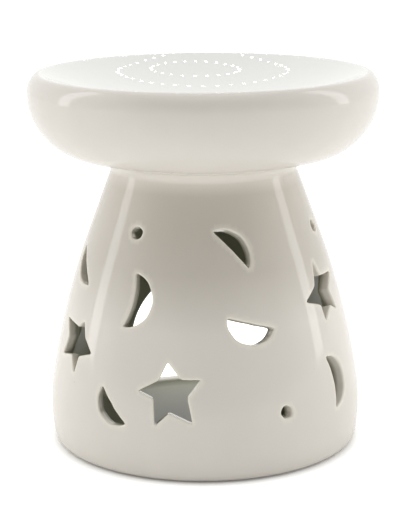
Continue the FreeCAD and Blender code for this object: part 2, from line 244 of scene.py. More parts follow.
star_tip, star_notch = 10.0, 5.2
stars = {
    "star": [(star_notch if step % 2 else star_tip, 90 + 36 * step) for step in range(10)],
    "front_star": [
        (9.7, 93), (5.3, 127), (9.4, 174), (5.0, 194), (10.5, 244),
        (5.5, 268), (10.8, 307), (5.2, 348), (10.3, 25), (5.5, 54),
    ],
    "right_star": [
        (10.4, 94), (4.8, 141), (9.7, 180), (4.7, 222), (9.0, 249),
        (5.1, 293), (9.2, 310), (3.7, 358), (10.4, 23), (5.1, 83),
    ],
    "left_star": [
        (11.0, 142), (5.1, 165), (9.1, 210), (3.8, 251), (9.3, 280),
        (4.5, 312), (9.5, 351), (5.7, 26), (8.2, 66), (5.3, 82),
    ],
}
moons = {
    "crescent": (16.6, 7.6, 1.5),
    "half_moon": (14.6, 6.5, 0.15),
    "slim_moon": (15.4, 4.8, 0.15),
    "small_moon": (13.8, 5.5, 0.6),
}
dot_radius = 1.9
cutter_standoff = 6.0
cutter_travel = 17.0
cutter_swing = math.radians(15.0)

arch_travel = 32.0
arch_half_width = 25.2
arch_sill = 4.0
arch_spring = 20.0
arch_corner = 4.0


def star_outline(tips):
    return [on_circle((0.0, 0.0), reach, math.radians(direction)) for reach, direction in tips]


def moon_outline(chord, back, hollow):
    half = chord / 2
    corners = []
    for rise, direction in ((hollow, 1), (back, -1)):
        radius = (half * half + rise * rise) / (2 * rise)
        spread = math.atan2(half, radius - rise)
        for step in range(24):
            angle = direction * spread * (2 * step / 24 - 1)
            corners.append((radius * math.sin(angle), rise - radius + radius * math.cos(angle)))
    return corners


def dot_outline(radius):
    turns = [math.tau * step / 48 for step in range(48)]
    return [(radius * math.cos(turn), radius * math.sin(turn)) for turn in turns]


def arch_outline():
    corners = []
    left, right = -arch_half_width + arch_corner, arch_half_width - arch_corner
    low = arch_sill + arch_corner
    for centre_x, start in ((left, math.pi), (right, 1.5 * math.pi)):
        for step in range(9):
            corners.append(on_circle((centre_x, low), arch_corner, start + math.pi / 16 * step))
    for step in range(49):
        corners.append(on_circle((0, arch_spring), arch_half_width, math.pi / 48 * step))
    return corners


def evenly_spaced(loop, spacing):
    """The same closed loop with its points spaced evenly along it."""
    loop = np.asarray(loop, float)
    closed = np.vstack([loop, loop[:1]])
    lengths = np.hypot(*np.diff(closed, axis=0).T)
    reached = np.concatenate([[0.0], np.cumsum(lengths)])
    count = max(12, int(round(reached[-1] / spacing)))
    stations = np.linspace(0, reached[-1], count, endpoint=False)
    columns = [np.interp(stations, reached, closed[:, axis]) for axis in (0, 1)]
    return np.stack(columns, axis=1)


def softened(loop, softness, spacing):
    """Rounds the corners of a loop as a wet sponge rounds a cut edge."""
    fine = 0.12
    dense = evenly_spaced(loop, fine)
    reach = int(4 * softness / fine)
    weights = np.exp(-0.5 * (np.arange(-reach, reach + 1) * fine / softness) ** 2)
    weights /= weights.sum()
    soft = sum(
        weight * np.roll(dense, shift, axis=0)
        for weight, shift in zip(weights, range(-reach, reach + 1))
    )
    return evenly_spaced(soft, spacing)


def unsteady(loop, amount, seed):
    """A knife that isn't quite steady: slow, small wanders along the outline."""
    chance = random.Random(seed)
    centre = loop.mean(axis=0)
    turns = np.linspace(0, math.tau, len(loop), endpoint=False)
    wander = np.zeros(len(loop))
    for waves in (2, 3, 5, 7):
        phase = chance.uniform(0, math.tau)
        wander += chance.uniform(0.3, 1.0) * np.sin(waves * turns + phase) / 2
    outward = loop - centre
    outward /= np.linalg.norm(outward, axis=1)[:, None]
    return loop + outward * (amount * wander)[:, None]


def cutter_axes(bearing, height, turn):
    """Seat of a cutter on the outside, its two outline directions and its way out of the wall."""
    bearing, turn = math.radians(bearing), math.radians(turn)
    (seat,), _ = wall_points(np.array([bearing]), np.array([height]), 0)
    swung = bearing + cutter_swing
    _, (outward,) = wall_points(np.array([swung]), np.array([height]), 0)
    sideways = np.array([math.cos(swung), math.sin(swung), 0.0])
    upward = np.cross(outward, sideways)
    first = math.cos(turn) * sideways + math.sin(turn) * upward
    second = -math.sin(turn) * sideways + math.cos(turn) * upward
    return seat + outward * cutter_standoff, first, second, outward


def pushed_onto(starts, outward, depth, travel):
    """Where lines pushed inwards from the starts meet the bell's surface."""
    near = np.zeros(len(starts))
    far = np.full(len(starts), travel)
    for _ in range(40):
        middle = (near + far) / 2
        points = starts - outward * middle[:, None]
        radius, _ = bell_surface(points[:, 2], depth)
        outside = np.hypot(points[:, 0], points[:, 1]) > radius
        near = np.where(outside, middle, near)
        far = np.where(outside, far, middle)
    return starts - outward * near[:, None]


def unit(vectors):
    return vectors / np.linalg.norm(vectors, axis=-1, keepdims=True)


edge_round = 0.75
inner_edge_round = 0.6
edge_steps = 5


def cut_through(skin, outline, axes, travel):
    """Adds the glazed lining of a cut-out, and returns its rims on the outside and inside."""
    seat, first, second, outward = axes
    outline = np.asarray(outline)
    starts = seat + outline[:, :1] * first + outline[:, 1:] * second
    loops, directions, rims = [], [], []
    for depth, inwards, roundness in ((0, -outward, edge_round), (wall, outward, inner_edge_round)):
        edge = pushed_onto(starts, outward, depth, travel)
        along = unit(np.roll(edge, -1, axis=0) - np.roll(edge, 1, axis=0))
        bearings = np.arctan2(edge[:, 0], -edge[:, 1])
        _, square = wall_points(bearings, edge[:, 2], depth)
        away = unit(np.cross(along, square if depth == 0 else -square))
        if ((edge - edge.mean(axis=0)) * away).sum() < 0:
            away = -away
        corner_loops, corner_directions = [], []
        for step in range(edge_steps + 1):
            part = step / edge_steps
            point = edge + roundness * ((1 - part) ** 2 * away + part**2 * inwards)
            tangent = unit(-(1 - part) * away + part * inwards)
            facing = unit(np.cross(along, tangent))
            facing *= np.sign((facing * -(away + inwards)).sum(axis=1))[:, None]
            corner_loops.append(point)
            corner_directions.append(facing)
        flat = np.arctan2(corner_loops[0][:, 0], -corner_loops[0][:, 1])
        corner_loops[0], corner_directions[0] = wall_points(flat, corner_loops[0][:, 2], depth)
        rims.append(np.stack([flat, corner_loops[0][:, 2]], axis=1))
        if depth == 0:
            loops += corner_loops
            directions += corner_directions
        else:
            middle = (loops[-1] + corner_loops[-1]) / 2
            loops += [middle] + corner_loops[::-1]
            directions += [directions[-1]] + corner_directions[::-1]
    count = len(outline)
    # Thin glaze plus painted highlight: the mark peaks halfway round each sponged edge and stays at 0.3
    # down the cut's wall.
    thin_glaze_and_highlight = []
    for step in range(len(loops)):
        from_lip = min(step, len(loops) - 1 - step) / edge_steps
        thin_glaze_and_highlight.append(np.full(count, 1.0 - abs(from_lip - 0.5) if from_lip <= 1 else 0.3))
    faces = []
    for row in range(len(loops) - 1):
        for column in range(count):
            after = (column + 1) % count
            low, high = row * count, (row + 1) * count
            faces.append((low + column, low + after, high + after, high + column))
    inner = np.repeat([1.0 * (step > edge_steps + 1) for step in range(len(loops))], count)
    skin.add(np.stack(loops), np.stack(directions), faces, np.concatenate(thin_glaze_and_highlight), inner=inner)
    return rims


def inside_loop(points, loop):
    """Which points lie inside a closed loop, by counting crossings."""
    inside = np.zeros(len(points), bool)
    for start, end in zip(loop, np.roll(loop, -1, axis=0)):
        crosses = (start[1] > points[:, 1]) != (end[1] > points[:, 1])
        if not crosses.any():
            continue
        slope = (end[0] - start[0]) / (end[1] - start[1])
        inside ^= crosses & (points[:, 0] < start[0] + slope * (points[:, 1] - start[1]))
    return inside


def near_loop(points, loop, distance):
    close = np.zeros(len(points), bool)
    for start, end in zip(loop, np.roll(loop, -1, axis=0)):
        step = end - start
        part = np.clip((points - start) @ step / max(step @ step, 1e-9), 0, 1)
        close |= np.hypot(*(points - start - part[:, None] * step).T) < distance
    return close


seam_bearing = math.radians(85.0)
unroll = 45.0


def pierced_band(skin, rims, depth, low, high, columns, row_height, inner=0.0):
    """The bell's surface between two heights, triangulated around the rims of its cut-outs."""
    bearings = seam_bearing + math.tau * np.arange(columns + 1) / columns
    rows = int(round((high - low) / row_height))
    heights = np.linspace(low, high, rows + 1)
    grid = []
    for row in range(1, rows):
        shift = 0.5 * (row % 2) * math.tau / columns
        turns = bearings[1:-1] if row % 2 == 0 else bearings[:-1] + shift
        grid.append(np.stack([turns * unroll, np.full(len(turns), heights[row])], axis=1))
    grid = np.concatenate(grid)
    loops = []
    for rim in rims:
        flat = rim.copy()
        flat[:, 0] = np.mod(flat[:, 0] - seam_bearing, math.tau) + seam_bearing
        loops.append(flat * np.array([unroll, 1.0]))
    for loop in loops:
        near = (np.abs(grid - loop.mean(axis=0)) < np.ptp(loop, axis=0) / 2 + 2.0).all(axis=1)
        drop = np.zeros(len(grid), bool)
        drop[near] = inside_loop(grid[near], loop) | near_loop(grid[near], loop, 0.55 * row_height)
        grid = grid[~drop]
    border = [(bearing * unroll, low) for bearing in bearings]
    border += [(bearings[-1] * unroll, height) for height in heights[1:-1]]
    border += [(bearing * unroll, high) for bearing in bearings[::-1]]
    border += [(bearings[0] * unroll, height) for height in heights[-2:0:-1]]
    flat_points, edges = [], []
    for loop in [np.array(border)] + loops:
        start, count = len(flat_points), len(loop)
        flat_points += loop.tolist()
        edges += [(start + step, start + (step + 1) % count) for step in range(count)]
    flat_points += grid.tolist()
    result = delaunay_2d_cdt([Vector(point) for point in flat_points], edges, [], 0, 1e-6)
    flat = np.array([flat_points[sources[0]] for sources in result[3]])
    faces = np.array([tuple(face) for face in result[2]])
    middles = flat[faces].mean(axis=1)
    keep = np.ones(len(faces), bool)
    for loop in loops:
        keep &= ~inside_loop(middles, loop)
    points, squares = wall_points(flat[:, 0] / unroll, flat[:, 1], depth)
    skin.add(points, squares, faces[keep].tolist(), inner=inner)


# Each cut-out: kind, bearing round the bell from the front, height of its centre, and turn. The
# first twelve were found with scratch fits, and the others, round the back, are set by hand.
cut_outs = [
    ("front_star", -12.6, 27.5, 0.0),
    ("right_star", 61.5, 52.0, 0.0),
    ("left_star", -60.8, 36.6, 0.0),
    ("crescent", -33.0, 53.6, -100.5),
    ("half_moon", 19.3, 47.8, 158.7),
    ("slim_moon", 13.0, 69.0, -55.4),
    ("small_moon", -34.5, 22.3, 129.9),
    ("crescent", 54.0, 25.3, -86.3),
    ("slim_moon", -68.4, 60.0, 131.4),
    ("dot", -35.6, 72.8, 0.0),
    ("dot", 30.2, 20.5, 0.0),
    ("dot", 73.1, 70.9, 0.0),
    ("star", 103.0, 34.0, 25.0),
    ("crescent", -98.0, 34.0, 92.0),
    ("slim_moon", 112.0, 66.0, -40.0),
    ("star", -112.0, 66.0, 12.0),
    ("half_moon", -126.0, 27.0, -80.0),
    ("dot", 128.0, 48.0, 0.0),
    ("half_moon", 128.0, 21.0, 110.0),
    ("dot", -134.0, 50.0, 0.0),
    ("star", 152.0, 73.0, -8.0),
    ("slim_moon", -164.0, 74.0, 200.0),
    ("dot", 174.0, 69.0, 0.0),
]

corner_softness = 0.42
knife_wander = 0.10

bell_skin = Skin()
outside_rims, inside_rims = [], []
for count, (kind, bearing, height, turn) in enumerate(cut_outs):
    if kind in stars:
        outline = softened(star_outline(stars[kind]), corner_softness, 0.5)
    elif kind == "dot":
        outline = softened(dot_outline(dot_radius), 0.2, 0.42)
    else:
        outline = softened(moon_outline(*moons[kind]), corner_softness, 0.55)
    outline = unsteady(outline, knife_wander, count)
    rims = cut_through(bell_skin, outline, cutter_axes(bearing, height, turn), cutter_travel)
    outside_rims.append(rims[0])
    inside_rims.append(rims[1])

arch_start = np.array([0.0, 52.0, 0.0])
arch_axes = (arch_start, np.array([-1.0, 0, 0]), np.array([0, 0, 1.0]), np.array([0, 1.0, 0]))
arch = softened(arch_outline(), 0.5, 0.9)
rims = cut_through(bell_skin, arch, arch_axes, arch_travel)
outside_rims.append(rims[0])
inside_rims.append(rims[1])

bell_columns = 288
band_low, band_high = 2.85, 84.0
pierced_band(bell_skin, outside_rims, 0, band_low, band_high, bell_columns, 1.05)
inner_low = floor_top + 0.3
pierced_band(bell_skin, inside_rims, wall, inner_low, band_high, bell_columns, 1.5, inner=1.0)


def bearings_for(columns):
    return seam_bearing + math.tau * np.arange(columns) / columns


def add_turned(skin, columns, paths, **marks):
    for path, normals in paths:
        strip = turned_strip(path, normals, bearings_for(columns))
        skin.add(*strip, **marks)


def bell_wall_path(low, high, depth, steps):
    """The bell's own surface between two heights as a path."""
    heights = np.linspace(low, high, steps + 1)
    radius, lean = bell_surface(heights, depth)
    facing = 1 if depth == 0 else -1
    normals = facing * np.stack([np.cos(lean), np.sin(lean)], axis=1)
    return np.stack([radius, heights], axis=1), normals


neck_rise = neck_fillet * (math.sin(neck_turn) + math.sin(wall_lean))
neck_reach = neck_fillet * (math.cos(wall_lean) - math.cos(neck_turn))
fillet_low = neck_height - neck_rise
fillet_radius = float(bell_surface(fillet_low, 0)[0])
fillet_centre = on_circle((fillet_radius, fillet_low), neck_fillet, wall_lean)
neck_edge = fillet_radius + neck_reach
neck_bore = float(bell_surface(neck_height, wall)[0])
band_foot = belly_centre[1] + belly_curve * math.sin(base_angle)

foot_paths = [
    line_path((0, recess_depth), (recess_radius - 0.5, recess_depth), (0, -1), 12),
    line_path((recess_radius - 0.5, recess_depth), (recess_radius, recess_depth), (0.2, -1), 1),
    line_path((recess_radius, recess_depth), (recess_radius + foot_bevel, 0), (-0.6, -0.8), 2),
    line_path((recess_radius + foot_bevel, 0), (foot_radius, 0), (0, -1), 4),
]
outside_paths = [
    arc_path(base_centre, base_round, -math.pi / 2, base_angle, 10),
    bell_wall_path(band_foot, band_low, 0, 1),
]
collar_paths = [
    bell_wall_path(band_high, fillet_low, 0, 3),
    arc_path(
        fillet_centre, neck_fillet, math.pi + wall_lean, math.pi - neck_turn, 8, hollow=True
    ),
]
ring_path = [line_path((neck_edge, neck_height), (neck_bore, neck_height), (0, 1), 2)]

corner_start = math.asin((inner_low - corner_height) / floor_corner)
inside_paths = [
    bell_wall_path(band_high, neck_height, wall, 4),
    arc_path(corner_centre, floor_corner, corner_start, -math.pi / 2, 4, hollow=True),
    line_path((corner_centre[0], floor_top), (0, floor_top), (0, 1), 16),
]

add_turned(bell_skin, bell_columns, foot_paths, bare=1.0)
add_turned(bell_skin, bell_columns, outside_paths + collar_paths)
add_turned(bell_skin, bell_columns, ring_path)
add_turned(bell_skin, bell_columns, inside_paths, inner=1.0)


def glaze_material(name, tone, thin_glaze_and_highlight_tone):
    """White gloss glaze over a tan body: thin on sponged edges, which are also lightened as a painted
    highlight, bare on the foot, and dark olive inside as painted shade.

    It is darker all round in a zone below the neck, as a stand-in for shade there.
    """
    material = bpy.data.materials.new(name)
    material.use_nodes = True
    nodes, links = material.node_tree.nodes, material.node_tree.links
    shader = nodes["Principled BSDF"]
    place = nodes.new("ShaderNodeTexCoord")

    def attribute(kind):
        node = nodes.new("ShaderNodeAttribute")
        node.attribute_name = kind
        return node.outputs["Fac"]

    def noise(scale, detail, roughness=0.5, stretch=None):
        source = place.outputs["Object"]
        if stretch:
            mapping = nodes.new("ShaderNodeMapping")
            mapping.inputs["Scale"].default_value = stretch
            links.new(source, mapping.inputs["Vector"])
            source = mapping.outputs["Vector"]
        node = nodes.new("ShaderNodeTexNoise")
        node.inputs["Scale"].default_value = scale
        node.inputs["Detail"].default_value = detail
        node.inputs["Roughness"].default_value = roughness
        links.new(source, node.inputs["Vector"])
        return node.outputs["Fac"]

    def spread(value, low, high, to_low, to_high):
        node = nodes.new("ShaderNodeMapRange")
        for socket, number in zip(node.inputs[1:5], (low, high, to_low, to_high)):
            socket.default_value = number
        links.new(value, node.inputs["Value"])
        return node.outputs["Result"]

    def times(first, second):
        node = nodes.new("ShaderNodeMath")
        node.operation = "MULTIPLY"
        links.new(first, node.inputs[0])
        if isinstance(second, float):
            node.inputs[1].default_value = second
        else:
            links.new(second, node.inputs[1])
        return node.outputs["Value"]

    def blend(amount, first, second):
        node = nodes.new("ShaderNodeMix")
        node.data_type = "RGBA"
        links.new(amount, node.inputs["Factor"])
        for socket, colour in zip((node.inputs["A"], node.inputs["B"]), (first, second)):
            if isinstance(colour, tuple):
                socket.default_value = (*colour, 1)
            else:
                links.new(colour, socket)
        return node.outputs["Result"]

    def mixed(amount, first, second):
        node = nodes.new("ShaderNodeMix")
        links.new(amount, node.inputs["Factor"])
        for socket, number in zip((node.inputs["A"], node.inputs["B"]), (first, second)):
            if isinstance(number, float):
                socket.default_value = number
            else:
                links.new(number, socket)
        return node.outputs["Result"]

    clouds = noise(28, 3)
    streaks = noise(60, 4, 0.55, stretch=(1, 1, 0.12))
    grain = noise(900, 2)
    deeper = tuple(channel * 0.955 for channel in tone)
    colour = blend(spread(clouds, 0.35, 0.65, 0.0, 1.0), tone, deeper)
    colour = blend(spread(streaks, 0.45, 0.75, 0.0, 0.35), colour, deeper)
    pits = nodes.new("ShaderNodeTexVoronoi")
    pits.inputs["Scale"].default_value = 150
    links.new(place.outputs["Object"], pits.inputs["Vector"])
    pit = spread(pits.outputs["Distance"], 0.0, 0.045, 1.0, 0.0)
    separate = nodes.new("ShaderNodeSeparateColor")
    links.new(pits.outputs["Color"], separate.inputs["Color"])
    rare = spread(separate.outputs["Red"], 0.90, 0.91, 0.0, 1.0)
    pit = times(pit, rare)
    colour = blend(times(pit, 0.5), colour, (0.42, 0.37, 0.27))
    height = nodes.new("ShaderNodeSeparateXYZ")
    links.new(place.outputs["Object"], height.inputs["Vector"])
    above_belly = spread(height.outputs["Z"], 0.045, 0.062, 0.0, 1.0)
    below_neck = spread(height.outputs["Z"], 0.084, 0.088, 1.0, 0.0)
    colour = blend(times(above_belly, below_neck), colour, shaded_tone)
    colour = blend(attribute("pooled"), colour, pooled_tone)
    # Painted highlight mixed with real thin glaze: the sponged edges are made lighter and yellower.
    colour = blend(times(attribute("thin_glaze_and_highlight"), 0.8), colour, thin_glaze_and_highlight_tone)
    inner = attribute("inner")
    # Painted shade: the inside surfaces take a dark olive tone for the shade in the closed chamber.
    colour = blend(inner, colour, inside_shade_tone)
    bare = attribute("bare")
    clay = blend(spread(grain, 0.3, 0.7, 0.0, 1.0), (0.56, 0.49, 0.38), (0.66, 0.60, 0.49))
    colour = blend(bare, colour, clay)
    links.new(colour, shader.inputs["Base Color"])
    gloss = spread(clouds, 0.3, 0.7, 0.055, 0.10)
    gloss = mixed(attribute("pooled"), gloss, 0.02)
    gloss = mixed(inner, gloss, 0.32)
    links.new(mixed(bare, gloss, 0.85), shader.inputs["Roughness"])
    shader.inputs["IOR"].default_value = 1.52

    ripple = nodes.new("ShaderNodeBump")
    ripple.inputs["Distance"].default_value = 0.00035
    ripple.inputs["Strength"].default_value = 0.10
    still = spread(attribute("pooled"), 0.0, 1.0, 1.0, 0.02)
    links.new(times(streaks, still), ripple.inputs["Height"])
    peel = nodes.new("ShaderNodeBump")
    peel.inputs["Distance"].default_value = 0.00006
    peel.inputs["Strength"].default_value = 0.25
    links.new(times(noise(260, 2), still), peel.inputs["Height"])
    links.new(ripple.outputs["Normal"], peel.inputs["Normal"])
    sunk = nodes.new("ShaderNodeBump")
    sunk.inputs["Distance"].default_value = 0.0001
    sunk.inputs["Strength"].default_value = 0.7
    sunk.invert = True
    links.new(pit, sunk.inputs["Height"])
    links.new(peel.outputs["Normal"], sunk.inputs["Normal"])
    links.new(sunk.outputs["Normal"], shader.inputs["Normal"])
    return material


# Painted shade: dark olive tone standing in for the shade inside the closed bell and dish.
inside_shade_tone = (0.34, 0.34, 0.25)
pooled_tone = (0.83, 0.84, 0.81)
shaded_tone = (0.62, 0.58, 0.515)
bell_glaze = glaze_material("white_bell_glaze", (0.77, 0.73, 0.67), (0.87, 0.83, 0.73))
bell = bell_skin.piece("glazed_bell")
bell.data.materials.append(bell_glaze)
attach(bell, "burner")
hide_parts("burner_body")

# ---------------------------------------------------------------- the oil dish
# A round hollow-walled dish, cast in one with its rolled rim and shallow bowl. Its underside is
# luted to the bell's neck with slip while both are soft, and the same dip of glaze covers both,
# so there is no seam, only a smooth fillet.

dish_low, dish_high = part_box("oil_dish")
dish_radius = (dish_high[0] - dish_low[0]) / 2 / MM - 0.02
dish_widest = 112.2
flank_curve, flank_angle = 20.6, math.radians(-49.9)
under_curve, under_angle = 17.1, math.radians(-80.3)
shoulder_curve, shoulder_angle = 7.8, math.radians(40.0)
crest_curve = 2.5
lip_curve, lip_angle = 3.5, math.radians(90 + 24)
bowl_curve, bowl_slope = 119.0, math.radians(10)
dish_skin = 4.0

flank_centre = (dish_radius - flank_curve, dish_widest)
under_centre = on_circle(flank_centre, flank_curve - under_curve, flank_angle)
shoulder_centre = (dish_radius - shoulder_curve, dish_widest)
crest_centre = on_circle(shoulder_centre, shoulder_curve - crest_curve, shoulder_angle)
lip_centre = (crest_centre[0], crest_centre[1] + crest_curve - lip_curve)
bowl_centre = on_circle(lip_centre, lip_curve + bowl_curve, lip_angle)
bowl_low = on_circle(bowl_centre, bowl_curve, bowl_slope - math.pi / 2)
floor_curve = bowl_low[0] / math.sin(bowl_slope)
floor_centre = (0.0, bowl_low[1] + floor_curve * math.cos(bowl_slope))


def hollow_side(path, normals):
    """The same path on the clay's other side, where the directions off it turn round."""
    return path, -normals


quarter = math.pi / 2
dish_outside = [
    arc_path(under_centre, under_curve, under_angle, flank_angle, 14),
    arc_path(flank_centre, flank_curve, flank_angle, 0, 24),
    arc_path(shoulder_centre, shoulder_curve, 0, shoulder_angle, 16),
    arc_path(crest_centre, crest_curve, shoulder_angle, quarter, 10),
    arc_path(lip_centre, lip_curve, quarter, lip_angle, 8),
    arc_path(bowl_centre, bowl_curve, lip_angle - math.pi, bowl_slope - quarter, 30, True),
    arc_path(floor_centre, floor_curve, bowl_slope - quarter, -quarter, 18, True),
]

# The cavity in the rim closes in a small corner that touches the flank and the bowl's underside.
bowl_under = bowl_curve + dish_skin
cavity_rise = bowl_centre[1] - dish_widest
cavity_reach = dish_radius - dish_skin - bowl_centre[0]
cavity_corner = (cavity_rise**2 + cavity_reach**2 - bowl_under**2) / (bowl_under + cavity_reach) / 2
cavity_centre = (dish_radius - dish_skin - cavity_corner, dish_widest)
cavity_turn = math.atan2(-cavity_rise, cavity_centre[0] - bowl_centre[0])
cavity = [
    arc_path(under_centre, under_curve - dish_skin, under_angle, flank_angle, 14),
    arc_path(flank_centre, flank_curve - dish_skin, flank_angle, 0, 24),
    arc_path(cavity_centre, cavity_corner, 0, cavity_turn + math.pi, 12),
    arc_path(bowl_centre, bowl_under, cavity_turn, bowl_slope - quarter, 24, True),
    arc_path(floor_centre, floor_curve + dish_skin, bowl_slope - quarter, -quarter, 12, True),
]


under_start = on_circle(under_centre, under_curve, under_angle)
under_slope = (math.cos(under_angle), math.sin(under_angle))
skin_start = on_circle(under_centre, under_curve - dish_skin, under_angle)
dish_foot = [
    line_path((neck_bore, neck_height), (neck_edge, neck_height), (0, -1), 2),
    line_path((neck_edge, neck_height), under_start, under_slope, 3),
]
dish_inside = [
    line_path((neck_bore, neck_height), (neck_bore, neck_height + dish_skin), (-1, 0), 3),
    line_path((neck_bore, neck_height + dish_skin), skin_start, (-under_slope[0], -under_slope[1]), 4),
]
dish_columns = 256
dish_shell = Skin()
cavity_paths = [hollow_side(*path) for path in cavity]
add_turned(dish_shell, dish_columns, dish_foot + dish_outside[:4])
add_turned(dish_shell, dish_columns, dish_outside[4:], pooled=1.0)
add_turned(dish_shell, dish_columns, dish_inside + cavity_paths, inner=1.0)
dish = dish_shell.piece("glazed_oil_dish")
dish.data.materials.append(
    glaze_material("white_dish_glaze", (0.75, 0.715, 0.66), (0.87, 0.83, 0.73))
)
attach(dish, "burner")
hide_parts("oil_dish")

# ---------------------------------------------------------------- the tealight cup
# A pressed aluminium cup, drawn from thin foil: fine pleats run up its wall where the metal was
# gathered, its top edge is rolled outwards into a bead, and rings are pressed into its bottom.

cup_low, cup_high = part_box("tealight_cup")
tealight_x = (cup_low[0] + cup_high[0]) / 2
tealight_y = (cup_low[1] + cup_high[1]) / 2
tealight_z = cup_low[2]
cup_radius, cup_height, cup_skin, cup_round = 19.0, 15.5, 0.35, 1.2
pleats = 60
pleat_depth = 0.16


def turned_piece(name, path, columns, swell=None):
    """A closed path turned round the tealight's axis; swell moves a point in or out."""
    path = np.asarray(path, float)
    turns = math.tau * np.arange(columns) / columns
    points, faces = [], []
    for radius, height in path:
        for turn in turns:
            reach = radius + (swell(radius, height, turn) if swell else 0.0)
            points.append((reach * math.sin(turn), -reach * math.cos(turn), height))
    rows = len(path)
    for row in range(rows - 1):
        for column in range(columns):
            after = (column + 1) % columns
            low, high = row * columns, (row + 1) * columns
            faces.append((low + column, low + after, high + after, high + column))
    mesh = bpy.data.meshes.new(name)
    place = np.array(points) * MM + np.array([tealight_x, tealight_y, tealight_z])
    mesh.from_pydata(place.tolist(), [], faces)
    ball = bmesh.new()
    ball.from_mesh(mesh)
    bmesh.ops.remove_doubles(ball, verts=ball.verts, dist=1e-6)
    bmesh.ops.dissolve_degenerate(ball, edges=ball.edges, dist=1e-7)
    bmesh.ops.recalc_face_normals(ball, faces=ball.faces)
    ball.to_mesh(mesh)
    ball.free()
    mesh.shade_smooth()
    piece = bpy.data.objects.new(name, mesh)
    bpy.context.collection.objects.link(piece)
    return piece


def corner(centre, radius, start, end, steps):
    angles = np.radians(np.linspace(start, end, steps + 1))
    return [on_circle(centre, radius, angle) for angle in angles]


def cup_swell(radius, height, turn):
    if height < 1.3 or height > cup_height - 1.6 or radius < cup_radius - 1:
        return 0.0
    fade = min(1.0, (height - 1.3) / 2, (cup_height - 1.6 - height) / 1.5)
    return -pleat_depth * fade * (0.5 + 0.5 * math.cos(pleats * turn)) ** 2


cup_path = [(0.0, 0.35), (6.5, 0.35), (6.9, 0.12), (7.6, 0.0), (9.0, 0.0), (9.6, 0.22), (10.4, 0.22)]
cup_path += [(11.0, 0.0), (14.5, 0.0), (17.0, 0.0)]
cup_path += corner((cup_radius - cup_round, cup_round), cup_round, -90, 0, 6)
cup_path += [(cup_radius, height) for height in np.linspace(1.9, cup_height - 1.2, 14)]
cup_path += corner((cup_radius + 0.02, cup_height - 0.42), 0.42, -70, 90, 8)
inside_radius = cup_radius - cup_skin
cup_path += [(inside_radius + 0.12, cup_height - 0.06), (inside_radius, cup_height - 0.35)]
cup_path += [(inside_radius, height) for height in np.linspace(cup_height - 1.2, 1.9, 14)]
cup_path += corner((inside_radius - 0.85, cup_round), 0.85, 0, -90, 6)
cup_path += [(11.0, cup_skin), (9.0, cup_skin + 0.05), (0.0, cup_skin + 0.3)]

cup = turned_piece("pleated_foil_cup", cup_path, 240, cup_swell)
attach(cup, "tealight")
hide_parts("tealight_cup")
foil = bpy.data.materials.new("pressed_foil")
foil.use_nodes = True
nodes, links = foil.node_tree.nodes, foil.node_tree.links
shader = nodes["Principled BSDF"]
shader.inputs["Base Color"].default_value = (0.80, 0.80, 0.81, 1)
shader.inputs["Metallic"].default_value = 1.0
place = nodes.new("ShaderNodeTexCoord")
scuffs = nodes.new("ShaderNodeTexNoise")
scuffs.inputs["Scale"].default_value = 420
scuffs.inputs["Detail"].default_value = 4
links.new(place.outputs["Object"], scuffs.inputs["Vector"])
dull = nodes.new("ShaderNodeMapRange")
dull.inputs["To Min"].default_value = 0.20
dull.inputs["To Max"].default_value = 0.42
links.new(scuffs.outputs["Fac"], dull.inputs["Value"])
links.new(dull.outputs["Result"], shader.inputs["Roughness"])
dents = nodes.new("ShaderNodeBump")
dents.inputs["Strength"].default_value = 0.25
dents.inputs["Distance"].default_value = 0.0001
links.new(scuffs.outputs["Fac"], dents.inputs["Height"])
links.new(dents.outputs["Normal"], shader.inputs["Normal"])
cup.data.materials.append(foil)

# ---------------------------------------------------------------- the wax
# White paraffin poured round the wick. It shrinks as it sets, so the top dips a little, stands
# up the foil at its edge and climbs the wick in a small collar.

wax_top = 12.6
sustainer_radius, sheet, collar_radius, collar_top = 6.5, 0.3, 1.5, 3.4
wick_radius, wick_top = 0.9, 19.0


def wax_surface(radius):
    edge = math.exp(-(inside_radius - radius) / 0.7) * 0.35
    climb = math.exp(-(radius - wick_radius) / 0.6) * 0.35
    return wax_top - 0.45 - 0.25 * math.exp(-((radius / 7) ** 2)) + edge + climb


wax_path = [(wick_radius, collar_top), (collar_radius, collar_top), (collar_radius, 0.7)]
wax_path += [(sustainer_radius, 0.7), (sustainer_radius + 0.1, 0.45), (10.0, 0.45), (16.5, 0.45)]
wax_path += corner((inside_radius - 0.95, cup_round + 0.1), 0.85, -90, 0, 6)
wax_path += [(inside_radius - 0.12, height) for height in (4.0, 8.0, wax_surface(inside_radius))]
wax_path += [
    (radius, wax_surface(radius)) for radius in inside_radius - 0.12 - 17.6 * np.linspace(0, 1, 60)[1:]
]
wax_path += [(wick_radius, wax_surface(wick_radius)), (wick_radius, collar_top)]

wax = turned_piece("poured_wax", wax_path, 160)
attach(wax, "tealight")
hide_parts("tealight_wax")
paraffin = bpy.data.materials.new("white_paraffin")
paraffin.use_nodes = True
nodes, links = paraffin.node_tree.nodes, paraffin.node_tree.links
shader = nodes["Principled BSDF"]
shader.inputs["Subsurface Weight"].default_value = 0.35
shader.inputs["Subsurface Radius"].default_value = (0.9, 0.8, 0.65)
shader.inputs["Subsurface Scale"].default_value = 0.004
shader.inputs["Roughness"].default_value = 0.42
place = nodes.new("ShaderNodeTexCoord")
bloom = nodes.new("ShaderNodeTexNoise")
bloom.inputs["Scale"].default_value = 190
bloom.inputs["Detail"].default_value = 5
links.new(place.outputs["Object"], bloom.inputs["Vector"])
tint = nodes.new("ShaderNodeMix")
tint.data_type = "RGBA"
tint.inputs["A"].default_value = (0.88, 0.86, 0.80, 1)
tint.inputs["B"].default_value = (0.80, 0.78, 0.71, 1)
links.new(bloom.outputs["Fac"], tint.inputs["Factor"])
links.new(tint.outputs["Result"], shader.inputs["Base Color"])
